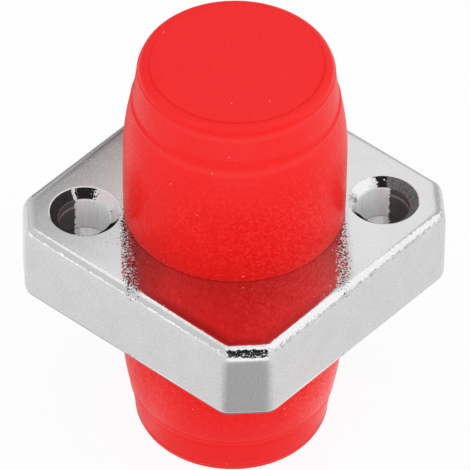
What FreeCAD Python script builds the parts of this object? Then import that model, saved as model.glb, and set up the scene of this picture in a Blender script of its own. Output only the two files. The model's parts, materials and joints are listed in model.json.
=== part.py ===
import FreeCAD, Part
import math
import os

os.makedirs("parts", exist_ok=True)

# All sizes are millimetres. Z runs along the axis of the two ports, X through the two screw holes.
# The origin is the middle of the flange, where the two fibre ends meet.

# Flange plate: a square standing on its corners, with the corners cut off
flange_side = 15.0
flange_thickness = 4.0
corner_facet_width = 2.2
flange_edge_radius = 0.45

# Screw holes on the X diagonal, countersunk on both faces
screw_spacing = 13.5
screw_hole_diameter = 2.35
countersink_width = 0.425
countersink_angle_deg = 90.0

# Threaded barrels, drawn at the outside diameter of the thread
thread_diameter = 8.0
thread_pitch = 0.75
thread_depth_per_pitch = 0.6134
barrel_length = 7.4
barrel_mouth_chamfer = 0.45
neck_length = 0.8
neck_extra_depth = 0.02

# Split alignment sleeve and the spacer gripped in its middle
sleeve_inner_diameter = 2.5
sleeve_wall = 0.35
sleeve_end_float = 0.2
sleeve_end_chamfer = 0.08
sleeve_slit_width = 0.5
spacer_thickness = 0.3
spacer_hole_diameter = 1.2
spacer_grip_gap = 0.005

# Sleeve holders, pressed in from both sides against a rib in the middle
sleeve_running_gap = 0.05
holder_wall = 0.645
holder_press_gap = 0.005
holder_height_above_floor = 2.3
holder_mouth_chamfer = 0.25
holder_lip_overhang = 0.2
holder_lip_thickness = 0.9
holder_lead_in = 0.3
rib_thickness = 0.8
rib_bore_gap = 0.15

# Port recess around each holder, and the key slot
port_ring_width = 0.75
port_depth = 5.0
port_mouth_chamfer = 0.2
key_slot_width = 2.2
key_slot_depth = 4.6
key_slot_corner_radius = 0.4

# Dust caps, pushed over the barrels until the rim meets the flange
cap_push_fit_gap = 0.02
cap_wall = 1.01
cap_end_gap = 0.2
cap_end_wall = 1.06
cap_rim_chamfer = 0.1
cap_lead_in = 0.25
cap_inner_corner_chamfer = 0.25
cap_straight_length = 3.5
cap_draw_length = 3.0
cap_draw_depth = 0.35
cap_step_depth = 0.12
cap_step_length = 0.4
cap_shoulder_taper = 0.16
cap_end_radius = 0.45

# Heights that follow from the sizes above
flange_half = flange_thickness / 2
barrel_mouth = flange_half + barrel_length
port_floor = barrel_mouth - port_depth
rib_half = rib_thickness / 2
holder_end = port_floor + holder_height_above_floor
lip_inner_face = holder_end - holder_lip_thickness
cap_floor = barrel_mouth + cap_end_gap
cap_top = cap_floor + cap_end_wall

# Radii that follow from the sizes above, from the sleeve outwards
sleeve_inner_radius = sleeve_inner_diameter / 2
sleeve_outer_radius = sleeve_inner_radius + sleeve_wall
holder_bore_radius = sleeve_outer_radius + sleeve_running_gap
lip_radius = holder_bore_radius - holder_lip_overhang
rib_bore_radius = holder_bore_radius + rib_bore_gap
holder_radius = holder_bore_radius + holder_wall
seat_radius = holder_radius + holder_press_gap
port_radius = seat_radius + port_ring_width
thread_radius = thread_diameter / 2
neck_radius = thread_radius - thread_depth_per_pitch * thread_pitch - neck_extra_depth
cap_bore_radius = thread_radius + cap_push_fit_gap
rim_radius = cap_bore_radius + cap_wall
step_radius = rim_radius - cap_draw_depth
shoulder_radius = step_radius - cap_step_depth - cap_shoulder_taper

axis_x = FreeCAD.Vector(1, 0, 0)
axis_z = FreeCAD.Vector(0, 0, 1)
origin = FreeCAD.Vector(0, 0, 0)


def point(radius, height):
    """A point of a half section, in the XZ plane."""
    return FreeCAD.Vector(radius, 0, height)


def line(start, end):
    return Part.LineSegment(start, end).toShape()


def arc(start, middle, end):
    return Part.Arc(start, middle, end).toShape()


def turned(edges):
    """Solid made by turning a closed half section about the Z axis."""
    section = Part.Face(Part.Wire(edges))
    return section.revolve(origin, axis_z, 360)


def turned_polygon(corners):
    """Solid turned from a half section with straight sides, given as (radius, height) corners."""
    points = [point(radius, height) for radius, height in corners]
    section = Part.Face(Part.makePolygon(points + [points[0]]))
    return section.revolve(origin, axis_z, 360)


def turned_over(shape):
    """Copy of a shape turned half a turn about X, so that its top faces down."""
    copy = shape.copy()
    copy.rotate(origin, axis_x, 180)
    return copy


def mirrored(shape):
    """Copy of a shape mirrored in the middle plane of the flange."""
    return shape.mirror(origin, axis_z)


# Flange plate with all its edges rounded
facet_half_width = corner_facet_width / 2
facet_distance = flange_side / math.sqrt(2) - facet_half_width
outline = []
for turn in range(4):
    for x, y in ((facet_distance, facet_half_width), (facet_half_width, facet_distance)):
        angle = turn * math.pi / 2
        turned_x = x * math.cos(angle) - y * math.sin(angle)
        turned_y = x * math.sin(angle) + y * math.cos(angle)
        outline.append(FreeCAD.Vector(turned_x, turned_y, -flange_half))
plate_face = Part.Face(Part.makePolygon(outline + [outline[0]]))
plate = plate_face.extrude(axis_z * flange_thickness)
plate = plate.makeFillet(flange_edge_radius, plate.Edges)

# Screw holes, each a straight hole with a cone at both ends
hole_radius = screw_hole_diameter / 2
sink_radius = hole_radius + countersink_width
sink_depth = countersink_width / math.tan(math.radians(countersink_angle_deg / 2))
sink_floor = flange_half - sink_depth
screw_hole = turned_polygon([
    (0, -flange_half),
    (sink_radius, -flange_half),
    (hole_radius, -sink_floor),
    (hole_radius, sink_floor),
    (sink_radius, flange_half),
    (0, flange_half),
])
for side in (-1, 1):
    cutter = screw_hole.copy()
    cutter.translate(axis_x * (side * screw_spacing / 2))
    plate = plate.cut(cutter)

# Barrels on both sides, with a neck next to the flange where the thread runs out
neck_top = flange_half + neck_length
neck_cone_top = neck_top + thread_radius - neck_radius
barrel = turned_polygon([
    (0, 0),
    (neck_radius, 0),
    (neck_radius, neck_top),
    (thread_radius, neck_cone_top),
    (thread_radius, barrel_mouth - barrel_mouth_chamfer),
    (thread_radius - barrel_mouth_chamfer, barrel_mouth),
    (0, barrel_mouth),
])
body = plate.fuse([barrel, mirrored(barrel)]).removeSplitter()

# Bore through the middle: wide port, seat for the holder, narrow rib
bore = turned_polygon([
    (0, 0),
    (rib_bore_radius, 0),
    (rib_bore_radius, rib_half),
    (seat_radius, rib_half),
    (seat_radius, port_floor),
    (port_radius, port_floor),
    (port_radius, barrel_mouth - port_mouth_chamfer),
    (port_radius + port_mouth_chamfer, barrel_mouth),
    (0, barrel_mouth),
])
body = body.cut(bore.fuse(mirrored(bore)).removeSplitter())

# Key slot through the wall of each barrel, on the +Y side
slot_floor = barrel_mouth - key_slot_depth
slot_inner = seat_radius + port_ring_width / 2
slot_corner = FreeCAD.Vector(-key_slot_width / 2, slot_inner, slot_floor)
slot = Part.makeBox(key_slot_width, thread_diameter, key_slot_depth * 2, slot_corner)
slot_edges = [
    edge
    for edge in slot.Edges
    if abs(edge.tangentAt(edge.FirstParameter).y) > 0.99 and edge.CenterOfMass.z < barrel_mouth
]
slot = slot.makeFillet(key_slot_corner_radius, slot_edges)
flange_body = body.cut([slot, mirrored(slot)])

# Sleeve holder: tube with a lip at its mouth that keeps the sleeve in
sleeve_holder_upper = turned_polygon([
    (holder_bore_radius, rib_half),
    (holder_radius, rib_half),
    (holder_radius, holder_end - holder_mouth_chamfer),
    (holder_radius - holder_mouth_chamfer, holder_end),
    (lip_radius + holder_lead_in, holder_end),
    (lip_radius, holder_end - holder_lead_in),
    (lip_radius, lip_inner_face),
    (holder_bore_radius, lip_inner_face),
])
sleeve_holder_lower = turned_over(sleeve_holder_upper)

# Split sleeve, standing on the lip of the lower holder
sleeve_bottom = -lip_inner_face
sleeve_top = lip_inner_face - sleeve_end_float
sleeve = turned_polygon([
    (sleeve_inner_radius + sleeve_end_chamfer, sleeve_bottom),
    (sleeve_outer_radius - sleeve_end_chamfer, sleeve_bottom),
    (sleeve_outer_radius, sleeve_bottom + sleeve_end_chamfer),
    (sleeve_outer_radius, sleeve_top - sleeve_end_chamfer),
    (sleeve_outer_radius - sleeve_end_chamfer, sleeve_top),
    (sleeve_inner_radius + sleeve_end_chamfer, sleeve_top),
    (sleeve_inner_radius, sleeve_top - sleeve_end_chamfer),
    (sleeve_inner_radius, sleeve_bottom + sleeve_end_chamfer),
])
slit_corner = FreeCAD.Vector(-sleeve_slit_width / 2, -2 * sleeve_outer_radius, sleeve_bottom - sleeve_wall)
slit_height = sleeve_top - sleeve_bottom + 2 * sleeve_wall
slit = Part.makeBox(sleeve_slit_width, 2 * sleeve_outer_radius, slit_height, slit_corner)
split_sleeve = sleeve.cut(slit)

# Gap spacer, gripped half way along the sleeve
spacer_middle = (sleeve_bottom + sleeve_top) / 2
spacer_radius = sleeve_inner_radius - spacer_grip_gap
gap_spacer = turned_polygon([
    (spacer_hole_diameter / 2, spacer_middle - spacer_thickness / 2),
    (spacer_radius, spacer_middle - spacer_thickness / 2),
    (spacer_radius, spacer_middle + spacer_thickness / 2),
    (spacer_hole_diameter / 2, spacer_middle + spacer_thickness / 2),
])

# Dust cap: a closed cup whose wall stands straight, draws in, steps once and rounds over to a flat end
cap_seat = flange_half
draw_bend = (cap_draw_length ** 2 + cap_draw_depth ** 2) / (2 * cap_draw_depth)
draw_half_drop = draw_bend - math.sqrt(draw_bend ** 2 - (cap_draw_length / 2) ** 2)
draw_start = cap_seat + cap_straight_length
draw_end = draw_start + cap_draw_length
end_flat_radius = shoulder_radius - cap_end_radius
round_start = cap_top - cap_end_radius


def end_round_point(angle_deg):
    """Point of the rounded end, from the shoulder at 0 degrees to the flat at 90."""
    angle = math.radians(angle_deg)
    outwards = cap_end_radius * math.cos(angle)
    upwards = cap_end_radius * math.sin(angle)
    return point(end_flat_radius + outwards, round_start + upwards)


rim_low = point(rim_radius - cap_rim_chamfer, cap_seat)
rim_high = point(rim_radius, cap_seat + cap_rim_chamfer)
straight_top = point(rim_radius, draw_start)
draw_middle = point(rim_radius - draw_half_drop, draw_start + cap_draw_length / 2)
step_low = point(step_radius, draw_end)
step_high = point(step_radius - cap_step_depth, draw_end + cap_step_length)
round_low = end_round_point(0)
round_middle = end_round_point(45)
round_high = end_round_point(90)
end_middle = point(0, cap_top)
floor_middle = point(0, cap_floor)
floor_edge = point(cap_bore_radius - cap_inner_corner_chamfer, cap_floor)
wall_top = point(cap_bore_radius, cap_floor - cap_inner_corner_chamfer)
lead_top = point(cap_bore_radius, cap_seat + cap_lead_in)
lead_low = point(cap_bore_radius + cap_lead_in, cap_seat)
dust_cap_upper = turned([
    line(lead_low, rim_low),
    line(rim_low, rim_high),
    line(rim_high, straight_top),
    arc(straight_top, draw_middle, step_low),
    line(step_low, step_high),
    line(step_high, round_low),
    arc(round_low, end_round_point(22.5), round_middle),
    arc(round_middle, end_round_point(67.5), round_high),
    line(round_high, end_middle),
    line(end_middle, floor_middle),
    line(floor_middle, floor_edge),
    line(floor_edge, wall_top),
    line(wall_top, lead_top),
    line(lead_top, lead_low),
])
dust_cap_lower = turned_over(dust_cap_upper)

# One file for each piece
pieces = {
    "flange_body": flange_body,
    "sleeve_holder_upper": sleeve_holder_upper,
    "sleeve_holder_lower": sleeve_holder_lower,
    "split_sleeve": split_sleeve,
    "gap_spacer": gap_spacer,
    "dust_cap_upper": dust_cap_upper,
    "dust_cap_lower": dust_cap_lower,
}
for name, shape in pieces.items():
    shape.exportStep("parts/" + name + ".step")
    print(name, "valid" if shape.isValid() else "not valid", len(shape.Solids), "solid")
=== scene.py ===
# %% [markdown]
# # A flange attenuator for optical fibre
# A small plated flange carries a threaded barrel on each face. A fibre connector screws on to each
# barrel, and a thin spacer between the two fibre ends weakens the light. Red dust caps close both
# barrels until the part is used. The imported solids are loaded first, because every piece below is
# worked out in the same place, and in the same frame, as the solid that it stands for.

# %% Load the frame
import json
import math

import bmesh
import bpy
import numpy as np
from mathutils import Matrix, Vector


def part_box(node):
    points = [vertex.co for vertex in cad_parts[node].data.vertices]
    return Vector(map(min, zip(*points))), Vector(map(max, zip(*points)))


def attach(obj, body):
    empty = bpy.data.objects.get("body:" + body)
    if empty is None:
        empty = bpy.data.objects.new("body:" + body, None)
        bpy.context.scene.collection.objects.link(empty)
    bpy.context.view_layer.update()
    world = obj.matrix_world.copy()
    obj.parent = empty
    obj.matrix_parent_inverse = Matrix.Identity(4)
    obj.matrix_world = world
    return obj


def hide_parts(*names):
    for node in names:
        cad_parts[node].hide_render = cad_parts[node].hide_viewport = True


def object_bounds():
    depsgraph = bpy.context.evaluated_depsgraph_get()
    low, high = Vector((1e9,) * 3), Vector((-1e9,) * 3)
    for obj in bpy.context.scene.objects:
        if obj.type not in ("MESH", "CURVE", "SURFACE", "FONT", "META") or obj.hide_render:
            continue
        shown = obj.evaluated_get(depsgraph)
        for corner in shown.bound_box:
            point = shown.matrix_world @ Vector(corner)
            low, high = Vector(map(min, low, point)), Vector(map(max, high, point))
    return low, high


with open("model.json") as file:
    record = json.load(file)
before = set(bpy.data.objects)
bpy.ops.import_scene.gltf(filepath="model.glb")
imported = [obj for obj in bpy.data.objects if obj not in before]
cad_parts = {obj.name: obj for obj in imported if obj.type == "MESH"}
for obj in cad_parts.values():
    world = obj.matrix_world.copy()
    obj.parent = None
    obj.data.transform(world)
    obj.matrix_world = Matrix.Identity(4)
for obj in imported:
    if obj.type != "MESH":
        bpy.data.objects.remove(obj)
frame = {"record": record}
cad_box = [[float(value) for value in corner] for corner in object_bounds()]

# %% [markdown]
# ## Sizes that the solids give
# A surface that stands for a solid has to fill the same place. Its main sizes could be typed in a
# second time, but then they would go wrong when the solid changes. So they are read from the frame
# where they are first needed: heights and radii from the corners of a solid's box, and the screw holes
# and ferrule ports from the record of mounts. Everything is worked out in millimetres and turned into
# metres when a mesh is made.

# %% Boxes and mounts in millimetres
MM = 0.001


def box_mm(node):
    """Lowest and highest corner of a solid's box in millimetres, to a tenth of a micrometre."""
    return [np.round(np.array(corner) / MM, 4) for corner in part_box(node)]


mount_sizes = {mount["name"]: mount["dims"] for mount in frame["record"]["mounts"]}
print("mounts:", ", ".join(mount_sizes))

# %% [markdown]
# ## The viewpoint
# The part was pictured from in front and above with a long lens, so its parallel edges stay nearly
# parallel. The camera is placed by the direction in which it looks rather than by rotation angles:
# three unit vectors (right, up and back) are the columns of its matrix, and a small roll is turned
# into the first two of them.

# %% Camera
CAMERA_DISTANCE = 380.0
CAMERA_AZIMUTH, CAMERA_ELEVATION, CAMERA_ROLL = np.radians([-4.41, 43.47, 0.83])
CAMERA_AIM_RIGHT, CAMERA_AIM_UP = 0.049, 0.111
LENS_LENGTH, SENSOR_WIDTH, NEAREST_SEEN = 644.2, 36.0, 10.0

look = Vector((-math.sin(CAMERA_AZIMUTH) * math.cos(CAMERA_ELEVATION),
               math.cos(CAMERA_AZIMUTH) * math.cos(CAMERA_ELEVATION),
               -math.sin(CAMERA_ELEVATION)))
level_right = Vector((math.cos(CAMERA_AZIMUTH), math.sin(CAMERA_AZIMUTH), 0.0))
level_up = level_right.cross(look)
camera_right = level_right * math.cos(CAMERA_ROLL) + level_up * math.sin(CAMERA_ROLL)
camera_up = level_up * math.cos(CAMERA_ROLL) - level_right * math.sin(CAMERA_ROLL)
camera_place = (level_right * CAMERA_AIM_RIGHT + level_up * CAMERA_AIM_UP - look * CAMERA_DISTANCE) * MM

lens = bpy.data.cameras.new("long_lens")
lens.lens = LENS_LENGTH
lens.sensor_width = SENSOR_WIDTH
lens.clip_start = NEAREST_SEEN * MM
camera = bpy.data.objects.new("camera", lens)
camera.matrix_world = Matrix((camera_right, camera_up, -look)).transposed().to_4x4()
camera.matrix_world.translation = camera_place
bpy.context.scene.collection.objects.link(camera)
bpy.context.scene.camera = camera
bpy.context.scene.view_settings.view_transform = "Standard"
print("camera at", [round(value, 4) for value in camera_place])

# %% [markdown]
# ## From arrays to a mesh
# Every new piece is one or more grids of points, each a function of two parameters. The faces of a
# grid join neighbouring rows and columns. Where the last column meets the first, or a whole row
# shrinks to one point, the doubled points are merged, so that seams and poles are closed, and the
# faces are then turned outwards. Edges sharper than a limit stay sharp and the rest shade smoothly.

# %% Grids, merging and riding
MERGE_DISTANCE = 0.0002
SHARP_ANGLE = 30.0


def grid_faces(rows, columns, first):
    """Corner numbers of the quads of a grid: point, right neighbour, the two below them in turn."""
    corner = first + np.arange(rows - 1)[:, None] * columns + np.arange(columns - 1)[None, :]
    return np.stack([corner, corner + 1, corner + columns + 1, corner + columns], axis=-1).reshape(-1, 4)


def closed_mesh(name, grids, end_faces=()):
    """One mesh from grids of points in millimetres, numbered one after the other, with doubled
    points merged and faces turned outwards. End faces list point numbers of flat closing faces."""
    counts = [grid.shape[0] * grid.shape[1] for grid in grids]
    firsts = np.concatenate([[0], np.cumsum(counts)[:-1]])
    points = np.concatenate([grid.reshape(-1, 3) for grid in grids]) * MM
    faces = np.concatenate([grid_faces(grid.shape[0], grid.shape[1], first)
                            for grid, first in zip(grids, firsts)])
    mesh = bpy.data.meshes.new(name)
    mesh.from_pydata(points.tolist(), [], faces.tolist() + [list(face) for face in end_faces])
    work = bmesh.new()
    work.from_mesh(mesh)
    bmesh.ops.remove_doubles(work, verts=work.verts, dist=MERGE_DISTANCE * MM)
    bmesh.ops.recalc_face_normals(work, faces=work.faces)
    open_edges = sum(not edge.is_manifold for edge in work.edges)
    work.to_mesh(mesh)
    work.free()
    print(name, "-", len(mesh.polygons), "faces,", open_edges, "open edges")
    return mesh


def fit_piece(mesh, body, node):
    """Object for a finished mesh, smooth except over an edge angle, riding on a body for a node."""
    mesh.polygons.foreach_set("use_smooth", np.ones(len(mesh.polygons), dtype=bool))
    mesh.set_sharp_from_angle(angle=math.radians(SHARP_ANGLE))
    piece = bpy.data.objects.new(mesh.name, mesh)
    bpy.context.scene.collection.objects.link(piece)
    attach(piece, body)
    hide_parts(node)
    return piece


print("faces of a grid of 3 by 4 points:", len(grid_faces(3, 4, 0)))

# %% [markdown]
# ## The flange plate
# The flange is a small zinc casting: a square plate that stands on its corners, with the corners
# cut off and every edge rounded. An extruded outline with a Bevel modifier would come close, but then
# every edge would be the same arc. On the real plate the upper edge is softer than the lower one and
# runs into the flat face without a line. So each edge is a quarter of a superellipse: row after row,
# the outline is moved further in and has its own height. The flat faces are rings of straight rules,
# from the barrel to the outline, and round each screw hole from the hole to the rim.

# %% Outline of the plate
PLATE_SIDE, FACET_WIDTH, CORNER_ROUND, SIDE_LEAN = 15.0, 2.2, 0.8, 45.0
SIDE_STEPS, FACET_STEPS, TURN_STEPS = 24, 8, 6


def pointing(angle):
    """Flat unit vectors at the given angles from X towards Y: cosine and sine."""
    return np.stack([np.cos(angle), np.sin(angle)], axis=-1)


def between(start, end, steps):
    """Points from start towards end in equal steps, without the end itself."""
    share = np.linspace(0, 1, steps, endpoint=False)[:, None]
    return start[..., None, :] * (1 - share) + end[..., None, :] * share


def quarter_outline(inset):
    """A quarter of the outline round +X for each inset: from the middle of one long side over the
    corner facet to the middle of the next. The sharp outline is moved in by the inset, or by the
    corner radius if that is more, and a disc that makes up the difference is rolled round it."""
    inset = np.asarray(inset, dtype=float)
    core_inset = np.maximum(inset, CORNER_ROUND)
    middle = (PLATE_SIDE / 2 - core_inset) / math.sqrt(2)
    reach = PLATE_SIDE / math.sqrt(2) - FACET_WIDTH / 2 - core_inset
    half = 2 * middle - reach
    first, last = np.stack([middle, -middle], axis=-1), np.stack([middle, middle], axis=-1)
    low, high = np.stack([reach, -half], axis=-1), np.stack([reach, half], axis=-1)
    core = np.concatenate([between(first, low, SIDE_STEPS), between(low, low, TURN_STEPS),
                           between(low, high, FACET_STEPS), between(high, high, TURN_STEPS),
                           between(high, last, SIDE_STEPS), last[..., None, :]], axis=-2)
    turn = np.linspace(-SIDE_LEAN, 0, TURN_STEPS, endpoint=False)
    lean = np.concatenate([np.full(SIDE_STEPS, -SIDE_LEAN), turn, np.zeros(FACET_STEPS),
                           turn + SIDE_LEAN, np.full(SIDE_STEPS + 1, SIDE_LEAN)])
    disc = (core_inset - inset)[..., None, None]
    return core + disc * pointing(np.radians(lean))


def turned(points, quarter):
    """The same points after so many quarter turns about Z."""
    cos, sin = [(1, 0), (0, 1), (-1, 0), (0, -1)][quarter]
    x, y = points[..., 0], points[..., 1]
    flat = np.stack([x * cos - y * sin, x * sin + y * cos], axis=-1)
    return np.concatenate([flat, points[..., 2:]], axis=-1)


print("points in a quarter of the outline:", len(quarter_outline(0.0)))

# %% Rounded edges
EDGE_REACH, EDGE_DROP, LOW_EDGE = 0.6, 0.95, 0.45
EDGE_POWER, ROUND_ROWS = 2.8, 14

# The rim of the upper cap rests on the plate, so its lowest corner gives the plate's upper face.
cap_low, cap_high = box_mm("dust_cap_upper")
PLATE_HALF = cap_low[2]


def at_height(points, height):
    """Flat points lifted to a height, or each row of them to a height of its own."""
    return np.concatenate([points, np.broadcast_to(height, points.shape[:-1] + (1,))], axis=-1)


def rounded_edges():
    """Inset and height of the rows from the upper face over the side to the lower face. Each edge is a
    quarter of a superellipse: it leaves the flat faces without a sudden change of curvature."""
    turn = np.radians(np.linspace(90, 0, ROUND_ROWS + 1))
    inset, drop = 1 - np.cos(turn) ** (2 / EDGE_POWER), 1 - np.sin(turn) ** (2 / EDGE_POWER)
    return (np.concatenate([EDGE_REACH * inset, LOW_EDGE * inset[::-1]]),
            np.concatenate([PLATE_HALF - EDGE_DROP * drop, LOW_EDGE * drop[::-1] - PLATE_HALF]))


edge_inset, edge_height = rounded_edges()
quarter_skin = at_height(quarter_outline(edge_inset), edge_height[:, None, None])
print("rows over an upper and a lower edge:", len(quarter_skin))

# %% Flat faces
BARREL_HOLE, FACE_ROWS = 3.4, 8


def rows_between(inner, outer, rows):
    """Ruled grid: row after row goes in equal steps from the inner curve to the outer one."""
    share = np.linspace(0, 1, rows + 1)[:, None, None]
    return inner[None] + (outer - inner)[None] * share


def face_ring(core):
    """Grid of a plain quarter of a flat face, from the barrel to the outline, and the same quarter's
    rim: the outline, a spoke inwards, the barrel's edge and the other spoke outwards."""
    plain = rows_between(barrel_ring, core, FACE_ROWS)
    spoke = plain[:, -1]
    return plain, np.concatenate([core, spoke[::-1][1:], barrel_ring[::-1][1:], (spoke * [1, -1])[1:]])


upper_core, lower_core = quarter_outline(EDGE_REACH), quarter_outline(LOW_EDGE)
barrel_ring = BARREL_HOLE * pointing(np.arctan2(upper_core[:, 1], upper_core[:, 0]))
barrel_wall = np.stack([at_height(barrel_ring, PLATE_HALF), at_height(barrel_ring, -PLATE_HALF)])
upper_plain, upper_rim = face_ring(upper_core)
lower_plain, lower_rim = face_ring(lower_core)
print("points round a quarter of a face:", len(upper_rim))

# %% Screw holes
SINK_WIDTH, SINK_LIP, HOLE_SOFTNESS, HOLE_ROWS = 0.425, 0.08, 0.06, 6
NEARLY_HALF = 0.48
SCREW_REACH = mount_sizes["panel_screws"]["spacing_x_mm"] / 2
SCREW_RADIUS = mount_sizes["panel_screws"]["hole_r_mm"]


def soften(corners, reach, steps=5):
    """A broken line with each inner corner replaced by a parabola that starts and ends at most a
    reach away from the corner and never past the middle of a side."""
    corners = np.asarray(corners, dtype=float)
    run = np.diff(corners, axis=0)
    length = np.linalg.norm(run, axis=1, keepdims=True)
    cut = np.minimum(np.minimum(length[:-1], length[1:]) * NEARLY_HALF, reach)
    before = corners[1:-1] - run[:-1] / length[:-1] * cut
    after = corners[1:-1] + run[1:] / length[1:] * cut
    share = np.linspace(0, 1, steps + 1)[None, :, None]
    bend = (before[:, None] * (1 - share) ** 2 + corners[1:-1][:, None] * 2 * share * (1 - share)
            + after[:, None] * share ** 2)
    return np.concatenate([corners[:1], bend.reshape(-1, 2), corners[-1:]])


screw_axis = np.array([SCREW_REACH, 0.0])
outward = (upper_rim - screw_axis) / np.linalg.norm(upper_rim - screw_axis, axis=1, keepdims=True)
sink_radius = SCREW_RADIUS + SINK_WIDTH
sink_ring = screw_axis + outward * (sink_radius + SINK_LIP)
upper_sink, lower_sink = (rows_between(sink_ring, rim, HOLE_ROWS) for rim in (upper_rim, lower_rim))
half_wall = [(sink_radius + SINK_LIP, PLATE_HALF), (sink_radius, PLATE_HALF),
             (SCREW_RADIUS, PLATE_HALF - SINK_WIDTH)]
hole_wall = soften(half_wall + [(radius, -height) for radius, height in half_wall[::-1]], HOLE_SOFTNESS)
hole_skin = at_height(screw_axis + outward[None] * hole_wall[:, :1, None], hole_wall[:, 1:, None])
print("rows down a screw hole:", len(hole_wall))

# %% The whole plate
plate_grids = []
for quarter in range(4):
    has_hole = quarter % 2 == 0
    upper_face, lower_face = (upper_sink, lower_sink) if has_hole else (upper_plain, lower_plain)
    patches = [quarter_skin, at_height(upper_face, PLATE_HALF), at_height(lower_face, -PLATE_HALF)]
    patches += [barrel_wall, hole_skin] if has_hole else [barrel_wall]
    plate_grids += [turned(patch, quarter) for patch in patches]
flange_plate = fit_piece(closed_mesh("flange_plate", plate_grids), "body", "flange_body")

# %% [markdown]
# ## Marks for the finish
# The plating looks different on the rounded edges, on the sides and in the screw holes. A finish could
# tell these places apart by the direction of the surface, but a side of the plate and the wall of a
# hole can face the same way. So each point of the plate carries a few numbers of its own, worked out
# from where it lies, and the finish reads them by name.

# %% Marks on edges and sides
HOLE_MARGIN, BARREL_MARGIN = 0.2, 0.1
CREST_START, CREST_RISE, LOW_EDGE_GAIN = 0.5, 0.25, 3
LINE_START, LINE_RISE, LINE_END = 0.42, 0.08, 0.98


def mark_points(piece, marks):
    """Stores one number for each point of a piece under each mark's name."""
    for name, weight in marks.items():
        piece.data.attributes.new(name, "FLOAT", "POINT").data.foreach_set("value", weight)


spots = np.empty(len(flange_plate.data.vertices) * 3)
flange_plate.data.vertices.foreach_get("co", spots)
spots = spots.reshape(-1, 3) / MM
above = spots[:, 2] > 0
from_screw = np.stack([np.abs(spots[:, 0]) - SCREW_REACH, spots[:, 1]], axis=-1)
screw_distance = np.linalg.norm(from_screw, axis=1)
outer = ((screw_distance > sink_radius + HOLE_MARGIN)
         & (np.hypot(spots[:, 0], spots[:, 1]) > BARREL_HOLE + BARREL_MARGIN))
climb = np.clip((np.abs(spots[:, 2]) - PLATE_HALF) / np.where(above, EDGE_DROP, LOW_EDGE) + 1, 0, 1)
crest = np.clip((climb - CREST_START) / CREST_RISE, 0, 1) * above
off_side = np.where(above, climb, np.clip(LOW_EDGE_GAIN * climb, 0, 1))
# The line mark places a painted dark line along the lower edges, a painted dark reflection.
line = np.clip((climb - LINE_START) / LINE_RISE, 0, 1) * ~above * (climb < LINE_END)
mark_points(flange_plate, {"edge": 4 * climb ** 2 * (1 - climb ** 2) * crest * outer,
                           "side": (1 - off_side ** 2) * outer,
                           "bare_line": line * outer})
print("points on the sides:", int((climb == 0).sum()))

# %% Marks in the screw holes
WALL_MARGIN, CENTRE_GUARD = 0.03, 0.1
FRONT_ACROSS, FRONT_ALONG = -0.62, -0.78
BEHIND_START, BEHIND_RISE = -0.3, 0.2
RIM_OFFSET, RIM_HALF_WIDTH = 0.004, 0.022

across_share, along_share = (from_screw / np.maximum(screw_distance, CENTRE_GUARD)[:, None]).T
in_bore = (screw_distance < SCREW_RADIUS + WALL_MARGIN).astype(float)
in_sink = (screw_distance < sink_radius + WALL_MARGIN) * (1 - in_bore)
behind = np.clip((along_share - BEHIND_START) / BEHIND_RISE, 0, 1)
on_rim = np.abs(screw_distance - sink_radius - RIM_OFFSET) < RIM_HALF_WIDTH
towards_front = FRONT_ACROSS * across_share + FRONT_ALONG * along_share
# These marks place painted shade and painted reflections in the holes, and a painted highlight on the rim
# behind each sink.
mark_points(flange_plate, {"bore": in_bore,
                           "sink": in_sink,
                           "outward": across_share * (in_bore + in_sink),
                           "inner_front": towards_front * in_sink,
                           "bright_rim": on_rim * above * behind})
print("points in the bores:", int(in_bore.sum()))

# %% [markdown]
# ## The threaded barrels
# Each barrel is cast with the flange and carries a fine outside thread, M8 with a pitch of 0.75 mm,
# for the nut of the fibre connector. A key slot through its wall lines the connector up. A Screw
# modifier could make the thread, but here the rows of the grid themselves climb with the helix, so
# every row stays on one line of the thread's profile and its edges come out crisp. The rows are held
# between the neck and the mouth, and inside the slot they are held down to the slot's floor.

# %% Profile of the thread
THREAD_RADIUS, THREAD_PITCH, THREAD_DEPTH, THREAD_ROWS = 4.0, 0.75, 0.46, 16
CREST_HALF, FLANK = 1 / 16, 5 / 16
NECK_RADIUS, NECK_TOP, FOOT_ROUND, MOUTH_CHAMFER = 3.52, 2.8, 0.15, 0.45
MOUTH = box_mm("flange_body")[1][2]


def thread_radius(height, angle, hand):
    """Radius of the thread: a crest an eighth of the pitch wide, straight flanks and a root a
    quarter wide, cut off by the neck and its cone below and by the mouth's chamfer above."""
    phase = height / THREAD_PITCH - hand * angle / (2 * np.pi)
    from_crest = np.abs(phase - np.round(phase))
    cut = THREAD_RADIUS - THREAD_DEPTH * np.clip((from_crest - CREST_HALF) / FLANK, 0, 1)
    cone = NECK_RADIUS + np.clip(height - NECK_TOP, 0, None)
    mouth = THREAD_RADIUS - np.clip(height - (MOUTH - MOUTH_CHAMFER), 0, None)
    return np.minimum(np.minimum(cut, cone), mouth)


print("turns of thread on a barrel:", round((MOUTH - NECK_TOP) / THREAD_PITCH, 1))

# %% Columns round a barrel
SLOT_HALF, SLOT_FLOOR, SLOT_CORNER = 1.1, 4.8, 0.4
AROUND_COLUMNS, SLOT_COLUMNS, SLOT_CROWDING = 132, 16, 1.5


def column_angle(radius):
    """Angle of each column: outside the slot a share of the way round from its left edge to its
    right edge, and inside the slot a constant distance across it, whatever the radius."""
    edge = np.arccos(SLOT_HALF / radius)
    in_slot = 2 * np.pi + np.arccos(np.clip(column_across / radius, -1, 1))
    return np.where(is_slot, in_slot, np.pi - edge + column_share * (np.pi + 2 * edge))


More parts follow.
